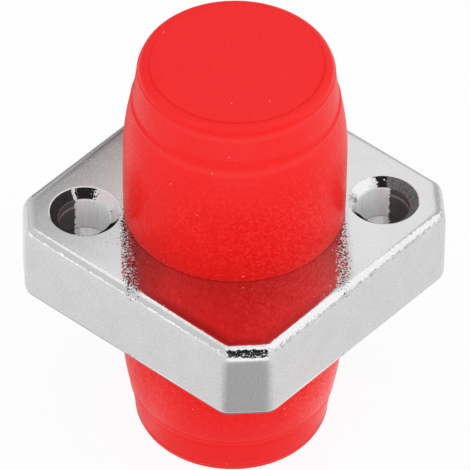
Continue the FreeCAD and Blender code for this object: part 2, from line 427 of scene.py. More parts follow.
column_share = np.concatenate([np.linspace(0, 1, AROUND_COLUMNS), np.zeros(SLOT_COLUMNS + 1)])
slot_share = np.linspace(-1, 1, SLOT_COLUMNS)
across_slot = -SLOT_HALF * np.sign(slot_share) * (1 - (1 - np.abs(slot_share)) ** SLOT_CROWDING)
column_across = np.concatenate([np.zeros(AROUND_COLUMNS), across_slot, [-SLOT_HALF]])
is_slot = np.arange(len(column_share)) >= AROUND_COLUMNS
corner_run = np.clip(np.abs(across_slot) - (SLOT_HALF - SLOT_CORNER), 0, SLOT_CORNER)
floor_line = SLOT_FLOOR + SLOT_CORNER - np.sqrt(SLOT_CORNER ** 2 - corner_run ** 2)
ceiling = np.concatenate([np.full(AROUND_COLUMNS, MOUTH), floor_line, [MOUTH]])
print("columns:", AROUND_COLUMNS, "round the barrel and", SLOT_COLUMNS, "across the slot")

# %% The two barrels
PORT_RADIUS, PORT_CHAMFER, PORT_FLOOR, PORT_SOFTNESS = 3.05, 0.2, 4.4, 0.03
SEAT_RADIUS, RIB_RADIUS, RIB_HALF, CORE_RADIUS = 2.3, 1.8, 0.4, 2.6
THREAD_START = PLATE_HALF + FOOT_ROUND
COLUMN_TURNS = np.array([0.25, 1.35])
SETTLING_ROUNDS = 4

foot_turn = np.radians(np.linspace(0, 90, 6))
foot = np.stack([NECK_RADIUS + FOOT_ROUND * (1 - np.sin(foot_turn)),
                 PLATE_HALF + FOOT_ROUND * (1 - np.cos(foot_turn))], axis=-1)
port = soften([(THREAD_RADIUS - MOUTH_CHAMFER, MOUTH), (PORT_RADIUS + PORT_CHAMFER, MOUTH),
               (PORT_RADIUS, MOUTH - PORT_CHAMFER), (PORT_RADIUS, PORT_FLOOR), (SEAT_RADIUS, PORT_FLOOR),
               (SEAT_RADIUS, RIB_HALF), (RIB_RADIUS, RIB_HALF), (RIB_RADIUS, 0.0), (CORE_RADIUS, 0.0),
               (NECK_RADIUS + FOOT_ROUND, 0.0)], PORT_SOFTNESS, 3)


def plain_rows(profile):
    """Rows of constant radius and height, held under the slot's floor inside the slot."""
    radius = np.broadcast_to(profile[:, :1], (len(profile), len(column_share)))
    height = np.minimum(profile[:, 1:], ceiling)
    return at_height(radius[..., None] * pointing(column_angle(radius)), height[..., None])


def barrel_points(side):
    """Closed section carried round the axis: foot, climbing thread rows, mouth, port and back to
    the foot. A row's radius, angle and height depend on each other and settle in a few rounds. Below
    the flange the heights are mirrored and the helix reversed, which leaves both threads right-handed
    and both slots on +Y."""
    turns = COLUMN_TURNS * side
    start, end = THREAD_START - turns.max() * THREAD_PITCH, MOUTH - turns.min() * THREAD_PITCH
    step = THREAD_PITCH / THREAD_ROWS
    row_height = np.arange(math.floor(start / step), math.ceil(end / step) + 1)[:, None] * step
    radius = np.full((len(row_height), len(column_share)), THREAD_RADIUS)
    for _ in range(SETTLING_ROUNDS):
        angle = column_angle(radius)
        height = np.clip(row_height + side * THREAD_PITCH * angle / (2 * np.pi), THREAD_START, ceiling)
        radius = thread_radius(height, angle, side)
    thread = at_height(radius[..., None] * pointing(angle), height[..., None])
    rows = [plain_rows(foot), thread, plain_rows(port), plain_rows(foot[:1])]
    return np.concatenate(rows) * [1, 1, side]


barrel_upper, barrel_lower = (
    fit_piece(closed_mesh(name, [barrel_points(side)]), "body", "flange_body")
    for name, side in (("barrel_upper", 1), ("barrel_lower", -1)))

# %% [markdown]
# ## Sleeve holders, alignment sleeve and spacer
# Inside each port stands a turned brass holder with a narrow lip. The two holders keep a split
# ceramic sleeve in line, and the sleeve keeps the two connector tips in line. The spacer that sets
# the loss is a thin ring in its middle. All of these are lathe work, so a half section is carried
# round the axis. The sleeve stops short at its slit, and a flat face closes each side of the slit.

# %% Turned pieces
LATHE_COLUMNS = 128
HOLDER_BORE, HOLDER_CHAMFER, HOLDER_SOFTNESS = 1.65, 0.25, 0.05
LIP_LEAD_IN, LIP_DEPTH = 0.3, 0.9
SPACER_HOLE, SPACER_SOFTNESS = 0.6, 0.03
LIP_RADIUS = mount_sizes["ferrule_port_upper"]["r_mm"]


def lathe(section):
    """A half section of (radius, height) carried once round Z, with the last column on the first."""
    angle = np.linspace(0, 2 * np.pi, LATHE_COLUMNS + 1)
    return at_height(section[:, None, :1] * pointing(angle), section[:, None, 1:])


def loop(corners, reach):
    """A closed section with softened corners. It starts and ends in the middle of its first side."""
    corners = np.asarray(corners, dtype=float)
    middle = (corners[:1] + corners[1:2]) / 2
    return soften(np.concatenate([middle, corners[1:], corners[:1], middle]), reach)


(_, _, holder_foot), (holder_radius, _, holder_end) = box_mm("sleeve_holder_upper")
holder_section = loop([(HOLDER_BORE, holder_foot), (holder_radius, holder_foot),
                       (holder_radius, holder_end - HOLDER_CHAMFER),
                       (holder_radius - HOLDER_CHAMFER, holder_end),
                       (LIP_RADIUS + LIP_LEAD_IN, holder_end), (LIP_RADIUS, holder_end - LIP_LEAD_IN),
                       (LIP_RADIUS, holder_end - LIP_DEPTH), (HOLDER_BORE, holder_end - LIP_DEPTH)],
                      HOLDER_SOFTNESS)
holder_upper = fit_piece(closed_mesh("holder_upper", [lathe(holder_section)]),
                         "body", "sleeve_holder_upper")
holder_lower = fit_piece(closed_mesh("holder_lower", [lathe(holder_section) * [1, -1, -1]]),
                         "body", "sleeve_holder_lower")
(_, _, spacer_low), (spacer_radius, _, spacer_high) = box_mm("gap_spacer")
spacer_section = loop([(SPACER_HOLE, spacer_low), (spacer_radius, spacer_low),
                       (spacer_radius, spacer_high), (SPACER_HOLE, spacer_high)], SPACER_SOFTNESS)
loss_spacer = fit_piece(closed_mesh("loss_spacer", [lathe(spacer_section)]),
                        "body", "gap_spacer")

# %% Split sleeve
SLIT_HALF, SLEEVE_COLUMNS = 0.25, 120
SLEEVE_BORE, SLEEVE_CHAMFER, SLEEVE_SOFTNESS = 1.25, 0.08, 0.03

(_, _, sleeve_low), (sleeve_radius, _, sleeve_high) = box_mm("split_sleeve")
sleeve_section = loop([(SLEEVE_BORE, sleeve_low + SLEEVE_CHAMFER),
                       (SLEEVE_BORE + SLEEVE_CHAMFER, sleeve_low),
                       (sleeve_radius - SLEEVE_CHAMFER, sleeve_low),
                       (sleeve_radius, sleeve_low + SLEEVE_CHAMFER),
                       (sleeve_radius, sleeve_high - SLEEVE_CHAMFER),
                       (sleeve_radius - SLEEVE_CHAMFER, sleeve_high),
                       (SLEEVE_BORE + SLEEVE_CHAMFER, sleeve_high),
                       (SLEEVE_BORE, sleeve_high - SLEEVE_CHAMFER)], SLEEVE_SOFTNESS)[:-1]


def slit_tube(section):
    """The section carried round Z from one side of the slit at -Y to the other. The angle at which
    the slit starts depends on the radius, so that the two sides of the slit are flat and parallel."""
    slit = np.arcsin(SLIT_HALF / section[:, :1])
    angle = -np.pi / 2 + slit + (2 * np.pi - 2 * slit) * np.linspace(0, 1, SLEEVE_COLUMNS)
    tube = at_height(section[:, None, :1] * pointing(angle), section[:, None, 1:])
    return np.concatenate([tube, tube[:1]])


sleeve_rows = np.arange(len(sleeve_section)) * SLEEVE_COLUMNS
slit_faces = [sleeve_rows.tolist(), (sleeve_rows + SLEEVE_COLUMNS - 1).tolist()]
align_sleeve = fit_piece(closed_mesh("align_sleeve", [slit_tube(sleeve_section)], slit_faces),
                         "body", "split_sleeve")

# %% [markdown]
# ## The dust caps
# The caps are moulded in soft red plastic and pushed over the threads. Seen closely, the wall is not
# a plain cylinder: it is upright near the rim, draws in towards the top, steps in at a line that the
# mould left, and ends in a rounded shoulder. Over the step and over the shoulder the wall is a little
# hollow, and a crease of uneven depth runs round the flat end. A curve with a Screw modifier would
# do, but writing the wall as radius over height keeps each of these marks as one term of a sum.

# %% Wall of a cap
SEAT, CAP_RIM, CAP_HEIGHT = PLATE_HALF, cap_high[0], cap_high[2] - PLATE_HALF
FOOT_TAPER, FOOT_LENGTH = 0.03, 1.7
DRAW_START, DRAW_LENGTH, DRAW_DEPTH = 3.5, 3.0, 0.35
STEP_START, STEP_LENGTH, STEP_DEPTH = DRAW_START + DRAW_LENGTH, 0.4, 0.065
SHOULDER_TAPER, END_ROUND = 0.20, 0.45
SHOULDER_HEIGHT = CAP_HEIGHT - END_ROUND
STEP_BEAD, STEP_BEAD_WIDTH = 0.028, 0.07
SHOULDER_BEAD, SHOULDER_BEAD_WIDTH, BEAD_DROP = 0.022, 0.05, 0.02
LEDGE, STEP_UNDERCUT, STEP_RECOVERY = 0.14, 0.075, 0.60


def ease(value):
    """Smooth rise from 0 to 1 with level ends: three squares less two cubes."""
    value = np.clip(value, 0, 1)
    return value * value * (3 - 2 * value)


def bump_ring(place, centre, width):
    """A bell curve round one place, one high: the section of a fine ring."""
    return np.exp(-((place - centre) / width) ** 2)


def undercut(height, start, recovery):
    """A groove over a line of the wall: over the width of a ledge it goes in to about one, and from
    there it dies away as a falling exponential with the given recovery length."""
    over = np.clip(height - start, 0, None)
    return ease(over / LEDGE) * np.exp(-over / recovery)


def cap_wall(height):
    """Radius of the wall at a height over the seat: the rim, less a slight taper to the foot, less the
    arc of the draw, less the step, less the hollow over the step, less the shoulder's taper, plus two
    fine mould rings."""
    foot = FOOT_TAPER * np.clip(1 - height / FOOT_LENGTH, 0, 1) ** 2
    arc_radius = (DRAW_LENGTH ** 2 + DRAW_DEPTH ** 2) / (2 * DRAW_DEPTH)
    drawn = np.clip(height - DRAW_START, 0, DRAW_LENGTH)
    arc = arc_radius - np.sqrt(arc_radius ** 2 - drawn ** 2)
    step = STEP_DEPTH * ease((height - STEP_START) / STEP_LENGTH)
    hollow = STEP_UNDERCUT * undercut(height, STEP_START, STEP_RECOVERY)
    step_end = STEP_START + STEP_LENGTH
    taper = SHOULDER_TAPER * np.clip((height - step_end) / (SHOULDER_HEIGHT - step_end), 0, 1)
    rings = (STEP_BEAD * bump_ring(height, STEP_START - BEAD_DROP, STEP_BEAD_WIDTH)
             + SHOULDER_BEAD * bump_ring(height, SHOULDER_HEIGHT - BEAD_DROP, SHOULDER_BEAD_WIDTH))
    return CAP_RIM - foot - arc - step - hollow - taper + rings


print("radius of a cap at its rim and its shoulder:", np.round(cap_wall(np.array([0, SHOULDER_HEIGHT])), 3))

# %% Section of a cap
# Start, end and number of rows of each part of the wall. The rows lie closest together at the step
# and at the shoulder.
WALL_ROWS = [(0.05, 6.2, 46), (6.25, 7.0, 34), (7.08, 7.95, 8), (8.0, SHOULDER_HEIGHT, 14)]
END_TURNS = 28
END_RING_ROWS, END_RING_INNER = 24, 3.70
END_DISC_ROWS, END_DISC_RADIUS = 12, 3.5
SHOULDER_UNDERCUT, SHOULDER_RECOVERY = 0.09, 0.20
CAP_BORE, CAP_FLOOR, LEAD_IN = 4.02, 7.6, 0.25
INNER_CHAMFER, INNER_SOFTNESS, STEP_OFF = 0.25, 0.04, 0.01

wall_height = np.concatenate([np.linspace(*rows) for rows in WALL_ROWS])
wall = np.stack([cap_wall(wall_height), wall_height], axis=-1)
shoulder_radius = wall[-1, 0] - END_ROUND
end_turn = np.radians(np.linspace(0, 90, END_TURNS + 1))[1:]
end_height = SHOULDER_HEIGHT + END_ROUND * np.sin(end_turn)
end_groove = SHOULDER_UNDERCUT * undercut(end_height, SHOULDER_HEIGHT, SHOULDER_RECOVERY) * np.cos(end_turn)
end_round = np.stack([shoulder_radius + END_ROUND * np.cos(end_turn) - end_groove, end_height], axis=-1)
end_radius = np.concatenate([np.linspace(shoulder_radius - STEP_OFF, END_RING_INNER, END_RING_ROWS),
                             np.linspace(END_DISC_RADIUS, 0, END_DISC_ROWS)])
end_flat = np.stack([end_radius, np.full(len(end_radius), CAP_HEIGHT)], axis=-1)
inside = soften([(0.0, CAP_FLOOR), (CAP_BORE - INNER_CHAMFER, CAP_FLOOR),
                 (CAP_BORE, CAP_FLOOR - INNER_CHAMFER), (CAP_BORE, LEAD_IN), (CAP_BORE + LEAD_IN, 0.0),
                 (wall[0, 0] - STEP_OFF, 0.0), tuple(wall[0])], INNER_SOFTNESS)
cap_section = np.concatenate([inside, wall[1:], end_round, end_flat]) + [0, SEAT]
print("points in the half section of a cap:", len(cap_section))

# %% The two caps
END_CREASE, CREASE_INSET, CREASE_WIDTH = 0.085, 0.06, 0.05
CREASE_BEHIND, END_SKIN = 0.25, 0.02


def creased(points):
    """The cap with a crease pressed into its flat end: a bell curve over the radius, deepest in front
    and a quarter as deep behind."""
    radius = np.linalg.norm(points[..., :2], axis=-1)
    front = ease(0.5 - 0.5 * points[..., 1] / np.maximum(radius, CENTRE_GUARD))
    on_end = points[..., 2] > SEAT + CAP_HEIGHT - END_SKIN
    unevenness = CREASE_BEHIND + (1 - CREASE_BEHIND) * front
    crease = END_CREASE * bump_ring(radius, shoulder_radius - CREASE_INSET, CREASE_WIDTH)
    return points - (crease * unevenness * on_end)[..., None] * [0, 0, 1]


cap_points = creased(lathe(cap_section))
cap_upper = fit_piece(closed_mesh("cap_upper", [cap_points]), "upper_cap", "dust_cap_upper")
cap_lower = fit_piece(closed_mesh("cap_lower", [cap_points * [1, -1, -1]]),
                      "lower_cap", "dust_cap_lower")

# %% [markdown]
# ## Building finishes from nodes
# A finish could be a painted picture wrapped round the piece, but a picture has a fixed sharpness and
# seams. Here every finish is a tree of shader nodes that works out its colour, gloss and relief from
# the place on the piece. The helpers below add one node each and hand back its output, so that a
# finish reads as a list of steps.

# %% Patterns and mixtures
WHITE = (1, 1, 1, 1)


def add_node(tree, kind, links=None, **settings):
    """A shader node with its settings. Links give an input's name or number a value or a socket."""
    node = tree.nodes.new(kind)
    for key, value in settings.items():
        setattr(node, key, value)
    for key, value in (links or {}).items():
        if isinstance(value, bpy.types.NodeSocket):
            tree.links.new(value, node.inputs[key])
        else:
            node.inputs[key].default_value = value
    return node


def new_finish(name):
    """A material, its node tree, its main shader and the piece's own Object coordinates."""
    material = bpy.data.materials.new(name)
    material.use_nodes = True
    tree = material.node_tree
    place = add_node(tree, "ShaderNodeTexCoord").outputs["Object"]
    return material, tree, tree.nodes["Principled BSDF"], place


def noise(tree, place, size_mm, detail, fineness=None):
    """Noise between 0 and 1 with lumps of about so many millimetres. A fineness for each axis presses
    the lumps together along it if above 1, and draws them out if below."""
    if fineness:
        place = add_node(tree, "ShaderNodeMapping", {"Vector": place, "Scale": fineness}).outputs[0]
    links = {"Vector": place, "Scale": 1 / (size_mm * MM), "Detail": detail}
    return add_node(tree, "ShaderNodeTexNoise", links).outputs[0]


def grains(tree, place, size_mm):
    """Cells about so many millimetres apart. Each has a colour of its own, and each point in it a
    distance from its middle."""
    return add_node(tree, "ShaderNodeTexVoronoi", {"Vector": place, "Scale": 1 / (size_mm * MM)}).outputs


def spread(tree, value, low, high, start=0.3, end=0.7):
    """A value between start and end, carried over to a value between low and high."""
    return add_node(tree, "ShaderNodeMapRange", {"Value": value, "From Min": start, "From Max": end,
                                                 "To Min": low, "To Max": high}).outputs[0]


def spread_mm(tree, value, low, high, start, end):
    """The same for a place or a distance, with its start and end in millimetres."""
    return spread(tree, value, low, high, start * MM, end * MM)


def grey(level):
    """A colour with the same red, green and blue."""
    return (level, level, level, 1)


def blended(tree, factor, first, second):
    """A colour between two colours."""
    return add_node(tree, "ShaderNodeMix", {0: factor, 6: first, 7: second}, data_type="RGBA").outputs[2]


def relief(tree, height, depth_mm, under=None):
    """Bump from a height between 0 and 1 that is so many millimetres deep, over another bump."""
    links = {"Height": height, "Distance": depth_mm * MM, "Strength": 1.0}
    if under is not None:
        links["Normal"] = under
    return add_node(tree, "ShaderNodeBump", links).outputs[0]


print("a light grey is written as", grey(0.8))

# %% Sums, parts and marked places
def arithmetic(tree, operation, first, second=0.0, third=0.0):
    """One step of arithmetic on sockets or numbers."""
    return add_node(tree, "ShaderNodeMath", {0: first, 1: second, 2: third}, operation=operation).outputs[0]


def product(tree, first, *others):
    """Sockets or numbers multiplied one after the other."""
    for other in others:
        first = arithmetic(tree, "MULTIPLY", first, other)
    return first


def total(tree, first, *others):
    """Sockets or numbers added one after the other."""
    for other in others:
        first = arithmetic(tree, "ADD", first, other)
    return first


def largest(tree, first, *others):
    """The largest of several sockets or numbers."""
    for other in others:
        first = arithmetic(tree, "MAXIMUM", first, other)
    return first


def scaled(tree, value, factor, offset):
    """A value times a factor, plus an offset."""
    return arithmetic(tree, "MULTIPLY_ADD", value, factor, offset)


def vector_step(tree, operation, first, second=(0, 0, 0), third=(0, 0, 0)):
    """One step of arithmetic on vectors or colours. A number counts as three equal parts."""
    links = {0: first, 1: second, 2: third}
    return add_node(tree, "ShaderNodeVectorMath", links, operation=operation).outputs[0]


def tinted(tree, colour, tint):
    """A colour multiplied by another colour or by a number."""
    return vector_step(tree, "MULTIPLY", colour, tint)


def parts_of(tree, vector):
    """The three parts of a vector or a colour."""
    return add_node(tree, "ShaderNodeSeparateXYZ", {0: vector}).outputs


def distance_from(tree, value, centre):
    """How far a value lies from another one, either way."""
    return arithmetic(tree, "ABSOLUTE", arithmetic(tree, "SUBTRACT", value, centre))


def two_sides(tree, place, negative, positive):
    """One number on the negative side of a middle plane and another on the positive side."""
    return spread_mm(tree, place, negative, positive, -1.0, 1.0)


def surface_value(tree, name):
    """A number that each point of the piece carries."""
    return add_node(tree, "ShaderNodeAttribute", attribute_name=name).outputs["Fac"]


print("attributes of the plate, marks included:", len(flange_plate.data.attributes))

# %% [markdown]
# ## Nickel plate on a zinc casting
# The flange is cast and then plated with bright nickel. The plating mirrors its surroundings, but it
# keeps the fine skin of the casting, so its brightness wanders a little. A metal of one grey would
# look like a drawing, so a slow noise mixes two greys, and a fine one mottles them, more on the sides
# than on the buffed top. Close to the cap on the left a red tint is painted into the metal: a painted
# reflection of the cap's red.

# %% Plating
PLATING_BRIGHT, PLATING_GREY, RED_REFLECTION_TINT = grey(0.73), grey(0.695), (1.13, 1, 1, 1)
PATCH_SIZE, SKIN_SIZE, SKIN_FINENESS = 1.1, 0.10, (1, 1, 1.8)
FACE_MOTTLING, SIDE_MOTTLING, SIDE_DARKENING = 0.06, 0.09, -0.06

nickel_cast, tree, shader, place = new_finish("nickel_cast")
shader.inputs["Specular IOR Level"].default_value = 0.0
across_x, along_y, height = parts_of(tree, place)
bore, sink, side = (surface_value(tree, name) for name in ("bore", "sink", "side"))
patchy = noise(tree, place, PATCH_SIZE, 3.0)
fine_skin = noise(tree, place, SKIN_SIZE, 3.0, SKIN_FINENESS)
plating = blended(tree, spread(tree, patchy, 0, 1), PLATING_BRIGHT, PLATING_GREY)
mottling = scaled(tree, side, SIDE_MOTTLING, FACE_MOTTLING)
mottled = scaled(tree, spread(tree, fine_skin, -0.5, 0.5, 0.35, 0.65), mottling,
                 scaled(tree, side, SIDE_DARKENING, 1.0))
plating = tinted(tree, plating, mottled)
# Painted red reflection of the cap, strongest beside the cap on its left, fading towards the corner
# of the plate and towards the front.
cap_reflection_share = product(tree, spread_mm(tree, across_x, 0, 1, -8.5, -4.8),
                     spread_mm(tree, across_x, 1, 0, -3.0, -1.0),
                     spread_mm(tree, along_y, 0, 1, -1.5, 1.0))
plating = tinted(tree, plating, blended(tree, cap_reflection_share, WHITE, RED_REFLECTION_TINT))
print("nickel_cast:", len(tree.nodes), "nodes for the plating")

# %% [markdown]
# ## Painted reflections in the screw holes
# In the bores and countersinks much of the mirror is replaced by painted tones: painted shade, a black
# crescent, a pale slit and a bright rim behind are painted reflections and a painted highlight, with
# drill lines in the bores. Modelled scratches would need far too many faces, so the marks that the
# points carry say where each tone lies, and a noise frays the borders. Where the tones are painted,
# the finish is less of a mirror and rougher.

# %% Painted tones in the bores
PAINTED_BLACK, PAINTED_PALE, PAINTED_RIM_PALE = grey(0.012), (0.78, 0.85, 0.85, 1), (0.86, 0.95, 0.95, 1)
FRAY_SIZE, DRILL_SIZE, DRILL_FINENESS = 0.12, 0.14, (1, 1, 0.12)
STREAK_HEIGHT, LOW_LINE_HEIGHT = 1.2, -0.115

fray = arithmetic(tree, "SUBTRACT", noise(tree, place, FRAY_SIZE, 2.0), 0.5)
ragged = scaled(tree, fray, 0.25, surface_value(tree, "outward"))
drill_lines = spread(tree, noise(tree, place, DRILL_SIZE, 2.0, DRILL_FINENESS), 0.88, 1.0)
# The outer side of a bore gets painted shade, but for a painted paler streak near its upper end.
from_streak = distance_from(tree, height, STREAK_HEIGHT * MM)
streak = spread_mm(tree, from_streak, 0.33, 0.115, 0.02, 0.10)
outer_painted_shade = blended(tree, spread(tree, ragged, 0, 1, 0.30, 0.33), WHITE, streak)
# A painted darker line runs round the bore near its middle.
from_low_line = distance_from(tree, height, LOW_LINE_HEIGHT * MM)
painted_low_line = spread_mm(tree, from_low_line, 0.45, 1, 0.015, 0.045)
bore_painted_tone = tinted(tree, product(tree, drill_lines, painted_low_line), outer_painted_shade)
print("nickel_cast:", len(tree.nodes), "nodes with the bores")

# %% Painted tones in the countersinks
# Painted reflections outwards over a sink: black, a pale slit, then painted shade. On the right the
# shade begins at once.
shade = product(tree, two_sides(tree, across_x, 0.043, 0.18), spread(tree, fray, 0.7, 1.3, -0.2, 0.2))
slit = total(tree, ragged, two_sides(tree, across_x, 0.0, 0.16))
painted_pale_slit = blended(tree, spread(tree, ragged, 0, 1, 0.24, 0.26), PAINTED_BLACK, PAINTED_PALE)
# The cyan tints here and below take out red light that the cap throws into the holes.
sink_painted_tone = blended(tree, spread(tree, slit, 0, 1, 0.34, 0.36), painted_pale_slit,
                    tinted(tree, shade, (0.86, 1, 1)))
# A black crescent on the inner front of each sink is a painted reflection.
crescent = spread(tree, scaled(tree, fray, 0.2, surface_value(tree, "inner_front")), 0, 1, 0.87, 0.90)
sink_painted_tone = blended(tree, crescent, sink_painted_tone, PAINTED_BLACK)
# A pale rim behind each sink is a painted highlight.
rim = surface_value(tree, "bright_rim")
painted_hole_tone = tinted(tree, blended(tree, bore, sink_painted_tone, bore_painted_tone), (0.955, 1, 1))
painted_hole_tone = blended(tree, rim, painted_hole_tone, PAINTED_RIM_PALE)
print("nickel_cast:", len(tree.nodes), "nodes with the countersinks")

# %% Where painted tones replace the mirror
DULL_ROUGHNESS, SIDE_ROUGHNESS = 0.35, 0.16

bore_paint_share = largest(tree, spread_mm(tree, height, 0.6, 1, -0.13, -0.10),
                    spread(tree, ragged, 0, 1, 0.10, 0.13))
sink_paint_share = largest(tree, crescent, spread(tree, ragged, 0, 1, 0.18, 0.20))
hole_paint_share = largest(tree, product(tree, bore, bore_paint_share), product(tree, sink, sink_paint_share), rim)
polish = scaled(tree, side, SIDE_ROUGHNESS, spread(tree, patchy, 0.04, 0.07))
tree.links.new(arithmetic(tree, "SUBTRACT", 1.0, hole_paint_share), shader.inputs["Metallic"])
tree.links.new(scaled(tree, hole_paint_share, DULL_ROUGHNESS, polish), shader.inputs["Roughness"])
print("nickel_cast:", len(tree.nodes), "nodes with its gloss")

# %% [markdown]
# ## Grain and painted pits beside the cap
# Beside the cap, along the edges of its reflection in the top face, the grain shows as dark pits and
# bright specks. The specks come from grains that tilt; the dark pits are painted, as painted dark
# specks of the reflection. The same grain could come from a bump texture, but a bump blurs when it is
# much smaller than a pixel. Voronoi cells work better: each is one grain with a colour of its own, and
# that colour says whether it becomes one of the dark pits, how dark it is and which way it tilts. The
# face also gets painted shade along its front edges, and a painted dark line, a painted reflection,
# runs along the lower edge of the plate.

# %% Painted pits
GRAIN_SIZE, STRIP_LEFT, STRIP_RIGHT = 0.052, 4.86, 4.58
PAINTED_PIT_BLACK, PAINTED_PIT_GREY = grey(0.02), (0.26, 0.24, 0.25, 1)

# Two strips run along Y in front, one on each side of the cap, along the edges of its reflection.
away_from_axis = arithmetic(tree, "ABSOLUTE", across_x)
strip_middle = two_sides(tree, across_x, STRIP_LEFT * MM, STRIP_RIGHT * MM)
from_strip = distance_from(tree, away_from_axis, strip_middle)
on_face = arithmetic(tree, "SUBTRACT", 1.0, side)
in_front = product(tree, spread_mm(tree, along_y, 1, 0, -1.5, 1.2), on_face)
grain_and_painted_pit_strip = product(tree, spread_mm(tree, from_strip, 1, 0, 0.14, 0.48), in_front)
grain = grains(tree, place, GRAIN_SIZE)["Color"]
grain_lean, grain_tone, grain_luck = parts_of(tree, grain)
# A grain is painted as one of the dark pits where its own number and the share of pits at its
# place add up to enough.
outside = spread_mm(tree, away_from_axis, 0.20, 1.05, 4.95, 5.05)
painted_pit_share = product(tree, arithmetic(tree, "POWER", grain_and_painted_pit_strip, 2.0), outside)
lean_inwards = product(tree, arithmetic(tree, "SUBTRACT", grain_lean, 0.5),
                       two_sides(tree, across_x, 1, -1))
painted_pit = spread(tree, total(tree, painted_pit_share, lean_inwards, 0.5), 0, 1, 1.0, 1.02)
painted_pit_tone = blended(tree, grain_tone, PAINTED_PIT_BLACK, PAINTED_PIT_GREY)
print("nickel_cast:", len(tree.nodes), "nodes with the pits")

# %% Painted shade by the front edges
PAINTED_SHADE_TONE, PAINTED_LINE_TONE = grey(0.03), (0.03, 0.02, 0.02, 1)
SHADE_LEFT, SHADE_RIGHT = 0.44, 0.28

# Lines of equal |x| + |y| run parallel to the sides of the plate.
to_edge = total(tree, away_from_axis, arithmetic(tree, "ABSOLUTE", along_y))
by_edge = largest(tree, spread_mm(tree, to_edge, 0, 1, 9.1, 9.72),
                  spread_mm(tree, along_y, 1, 0, -8.88, -8.5))
flat_part = arithmetic(tree, "MINIMUM", spread_mm(tree, to_edge, 1, 0, 9.93, 9.96),
                       spread_mm(tree, along_y, 0, 1, -9.06, -9.04))
edge_painted_shade = largest(tree, spread_mm(tree, away_from_axis, 0, 1, 3.2, 4.6), by_edge)
edge_painted_shade = product(tree, edge_painted_shade, two_sides(tree, across_x, SHADE_LEFT, SHADE_RIGHT))
# Painted shade darkens the cap's red reflection towards its sides and the face towards its front edges.
painted_fringe_shade = product(tree, edge_painted_shade, in_front, flat_part, spread_mm(tree, away_from_axis, 1, 0, 4.75, 5.15))
plating_and_painted_marks = blended(tree, painted_pit, blended(tree, painted_fringe_shade, plating, PAINTED_SHADE_TONE), painted_pit_tone)
# A painted dark line along the lower edges stands in for a dark reflection.
plating_and_painted_marks = blended(tree, surface_value(tree, "bare_line"), plating_and_painted_marks, PAINTED_LINE_TONE)
tree.links.new(blended(tree, hole_paint_share, plating_and_painted_marks, painted_hole_tone), shader.inputs["Base Color"])
print("nickel_cast:", len(tree.nodes), "nodes with its colour")

# %% Tilted grains, lumps and dents
GRAIN_TILT, SINK_GRAIN = 0.22, 0.5
LUMP_SIZE, LUMP_MEAN, LUMP_DEPTH = 0.24, 0.7, 0.05
SMALL_LUMP_SIZE, SMALL_LUMP_SHARE = 0.10, 0.4
DENT_SPACING, DENT_DEPTH = 1.1, 0.025
CELL_MIDDLE = (0.5, 0.5, 0.5)

rough_spots = largest(tree, grain_and_painted_pit_strip, product(tree, sink, SINK_GRAIN))
sparkle = product(tree, spread(tree, grain_luck, 0.015, 0.24, 0.965, 0.97), on_face)
tilt = vector_step(tree, "SUBTRACT", grain, CELL_MIDDLE)
lumpy = product(tree, spread_mm(tree, across_x, 0.4, 1, -3.0, -1.5),
                spread_mm(tree, along_y, 1, 0.2, 0.0, 2.0))
lumps = total(tree, noise(tree, place, LUMP_SIZE, 1.0),
              product(tree, noise(tree, place, SMALL_LUMP_SIZE, 1.0), SMALL_LUMP_SHARE))
edge_lumps = product(tree, surface_value(tree, "edge"), lumpy,
                     arithmetic(tree, "SUBTRACT", lumps, LUMP_MEAN))
dents = grains(tree, place, DENT_SPACING)
dent = product(tree, spread(tree, dents["Distance"], 1, 0, 0.02, 0.06),
               spread(tree, dents["Color"], 0, 1, 0.55, 0.56))
waves = relief(tree, dent, DENT_DEPTH, relief(tree, edge_lumps, LUMP_DEPTH))
grainy = vector_step(tree, "MULTIPLY_ADD", tilt, scaled(tree, rough_spots, GRAIN_TILT, sparkle), waves)
tree.links.new(vector_step(tree, "NORMALIZE", grainy), shader.inputs["Normal"])
for piece in (flange_plate, barrel_upper, barrel_lower):
    piece.data.materials.append(nickel_cast)
print("nickel_cast:", len(tree.nodes), "nodes in all")

# %% [markdown]
# ## Plated brass, ceramic and steel
# The pieces inside the ports show only when a cap is off. The holders are plated brass with rings left
# by the lathe, the sleeve is white zirconia, and the spacer is ground steel. Pictures of such surfaces
# could be wrapped round them, but one noise each is enough: pressed flat it gives turning rings, left
# round it gives the clouds of the ceramic, and pressed together along X it gives grinding lines.

# %% Finishes inside the ports
BRASS_TONES = [(0.78, 0.77, 0.75, 1), (0.70, 0.69, 0.67, 1)]
CERAMIC_TONES = [(0.86, 0.84, 0.79, 1), (0.80, 0.78, 0.72, 1)]
STEEL_TONES = [(0.60, 0.60, 0.61, 1), (0.50, 0.50, 0.51, 1)]
TURNING_FINENESS, GRINDING_FINENESS = (0.02, 0.02, 12.0), (8.0, 1.0, 1.0)
RING_DEPTH = 0.003


def patterned_finish(name, tones, roughness, metallic, size_mm, detail, fineness=None):
    """A finish drawn by one noise, which mixes two colours and wanders between two roughnesses."""
    material, tree, shader, place = new_finish(name)
    pattern = noise(tree, place, size_mm, detail, fineness)
    shader.inputs["Metallic"].default_value = metallic
    tree.links.new(blended(tree, pattern, *tones), shader.inputs["Base Color"])
    tree.links.new(spread(tree, pattern, *roughness), shader.inputs["Roughness"])
    print(name, "-", len(tree.nodes), "nodes")
    return material, tree, shader, pattern


